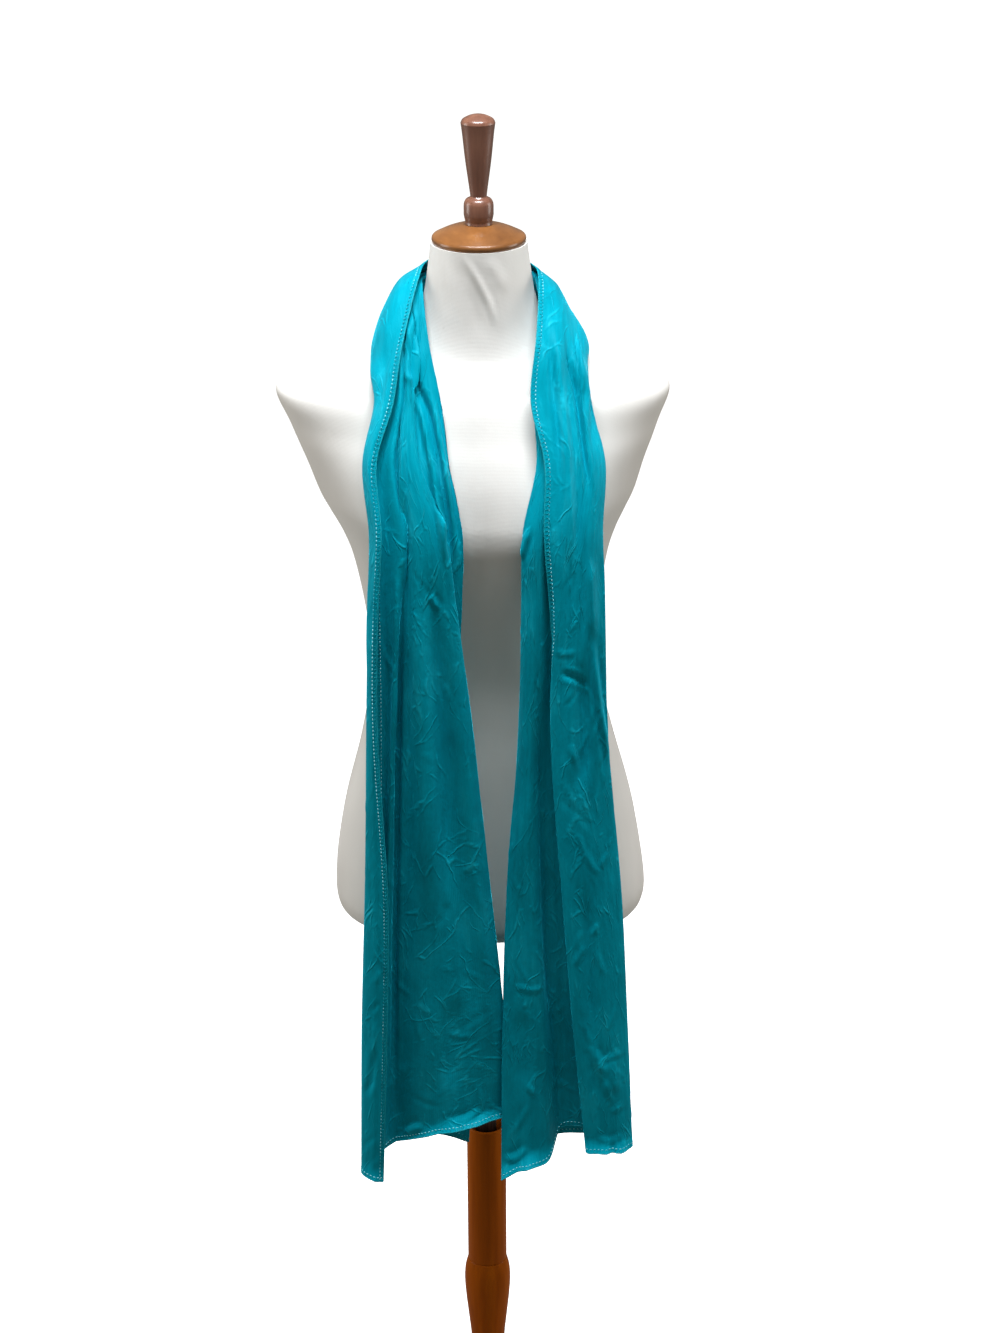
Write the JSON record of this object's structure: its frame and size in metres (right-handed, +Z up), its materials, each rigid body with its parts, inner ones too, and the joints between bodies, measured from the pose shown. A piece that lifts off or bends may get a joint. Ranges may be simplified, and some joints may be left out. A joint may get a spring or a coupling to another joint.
{
  "type": "jersey knit scarf on a limbless dress form",
  "caption": "Long jersey knit scarf hung in a loose folded roll round the neck of a limbless dress form on a turned wooden pole with a round base.",
  "frame": {"origin": "on the floor at the pole's axis, the middle of the base disc's underside", "axes": "+Z up, the form's front and the scarf's tails face -Y, +X is the wearer's left"},
  "size_m": [0.384, 0.36, 1.62],
  "materials": {
    "jersey": "fine jersey knit with a satin sheen",
    "form_cover": "smooth white knit cover",
    "wood": "reddish brown stain under gloss varnish",
    "rod": "dark drawn steel"
  },
  "bodies": {
    "stand": {"base_disc": "wood", "pole_foot": "wood", "pole_sleeve": "wood"},
    "form": {"inner_rod": "rod", "dress_form": "form_cover", "neck_cap": "wood", "finial": "wood", "scarf_right_tail": "jersey", "scarf_neck": "jersey", "scarf_left_tail": "jersey"}
  },
  "joints": [
    {"name": "height_slide", "type": "slide", "parent": "stand", "child": "form", "axis": [0, 0, 1], "range_m": [-0.11, 0.1]}
  ]
}
